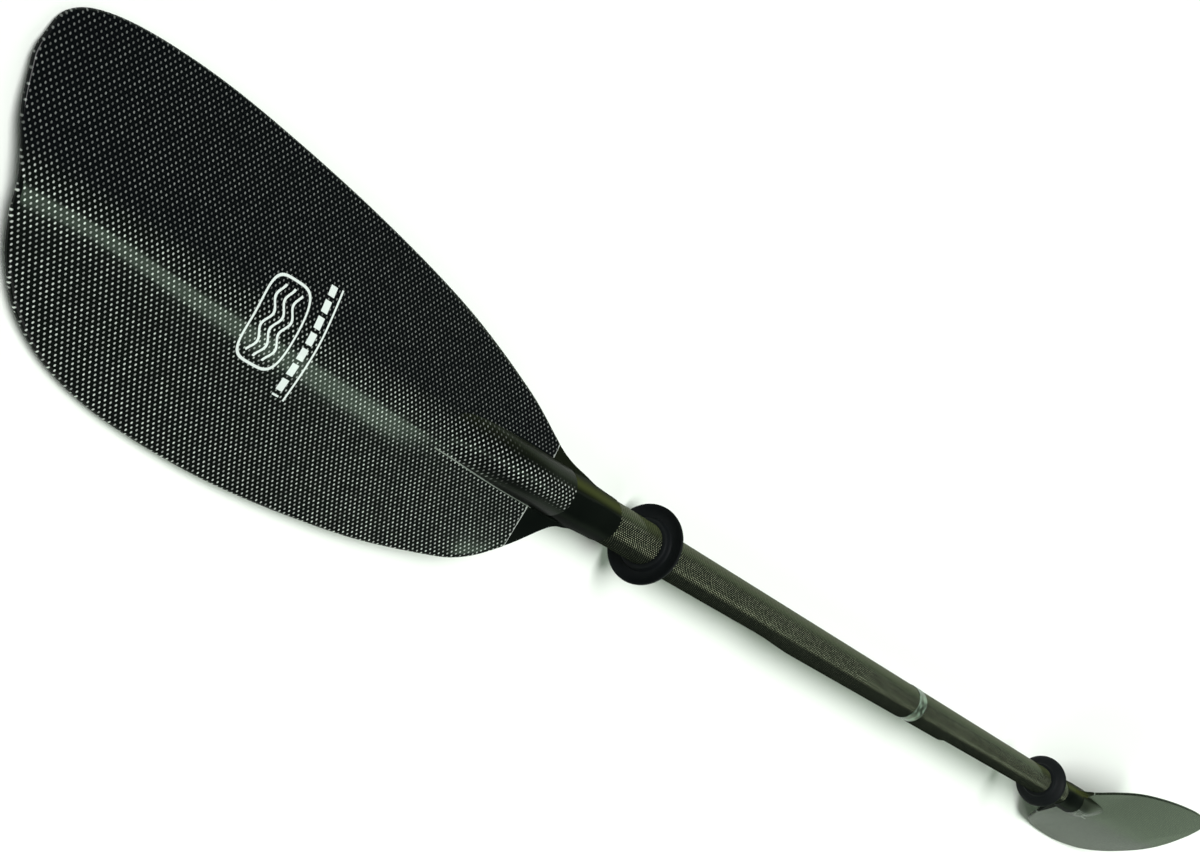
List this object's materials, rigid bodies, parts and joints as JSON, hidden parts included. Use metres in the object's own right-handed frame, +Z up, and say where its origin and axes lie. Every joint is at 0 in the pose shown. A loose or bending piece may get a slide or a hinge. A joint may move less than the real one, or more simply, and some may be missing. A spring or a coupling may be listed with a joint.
{
  "type": "kayak paddle",
  "caption": "Two-piece touring kayak paddle with feathered carbon blades, a round shaft, a latched ferrule with an index collar, and rubber drip rings.",
  "frame": {"origin": "on the shaft's centreline at the paddle's mid-length, which is its balance point to within a few millimetres", "axes": "+X along the shaft from the left blade to the right blade, +Z up out of the left blade's power face, +Y towards the left blade's long edge"},
  "size_m": [2.199, 0.1688, 0.1209],
  "materials": {
    "carbon_weave": "clear-coated plain-weave carbon cloth with pale glints at the crossings",
    "carbon_shaft": "fine clear-coated carbon weave with an olive sheen",
    "gloss_black": "smooth moulded gloss black",
    "foam": "closed-cell structural foam",
    "rubber": "matt moulded black rubber",
    "collar": "pale translucent grey-green plastic",
    "ferrule_plastic": "dark glass-filled plastic",
    "steel": "brushed stainless steel"
  },
  "bodies": {
    "left_half": {"left_blade_face": "carbon_weave", "left_blade_back": "carbon_weave", "left_blade_core": "foam", "left_spine": "carbon_weave", "left_throat": "gloss_black", "left_shaft_plug": "foam", "left_shaft": "carbon_shaft", "left_bulkhead": "foam", "grip_index": "carbon_shaft", "spigot": "ferrule_plastic", "spigot_cap": "ferrule_plastic", "button_spring": "steel"},
    "index_collar": {"index_collar": "collar"},
    "right_half": {"right_blade_face": "carbon_weave", "right_blade_back": "carbon_weave", "right_blade_core": "foam", "right_spine": "carbon_weave", "right_throat": "gloss_black", "right_shaft_plug": "foam", "right_shaft": "carbon_shaft", "ferrule_liner": "ferrule_plastic", "joint_index": "carbon_shaft", "right_bulkhead": "foam"},
    "snap_button": {"snap_button": "steel"},
    "left_drip_ring": {"left_drip_ring": "rubber"},
    "right_drip_ring": {"right_drip_ring": "rubber"}
  },
  "joints": [
    {"name": "ferrule_pull", "type": "slide", "parent": "left_half", "child": "index_collar", "axis": [1, 0, 0], "range_m": [0, 0.125]},
    {"name": "feather_turn", "type": "hinge", "parent": "index_collar", "child": "right_half", "pos_m": [0, 0, 0], "axis": [1, 0, 0], "range_deg": [-105, 15]},
    {"name": "button_travel", "type": "slide", "parent": "left_half", "child": "snap_button", "axis": [0, 0, -1], "range_m": [0, 0.0042], "stiffness_N_per_m": 500, "springref_m": 0.008},
    {"name": "left_ring_slide", "type": "slide", "parent": "left_half", "child": "left_drip_ring", "axis": [1, 0, 0], "range_m": [-0.058, 0.195]},
    {"name": "right_ring_slide", "type": "slide", "parent": "right_half", "child": "right_drip_ring", "axis": [1, 0, 0], "range_m": [-0.33, 0.058]}
  ]
}
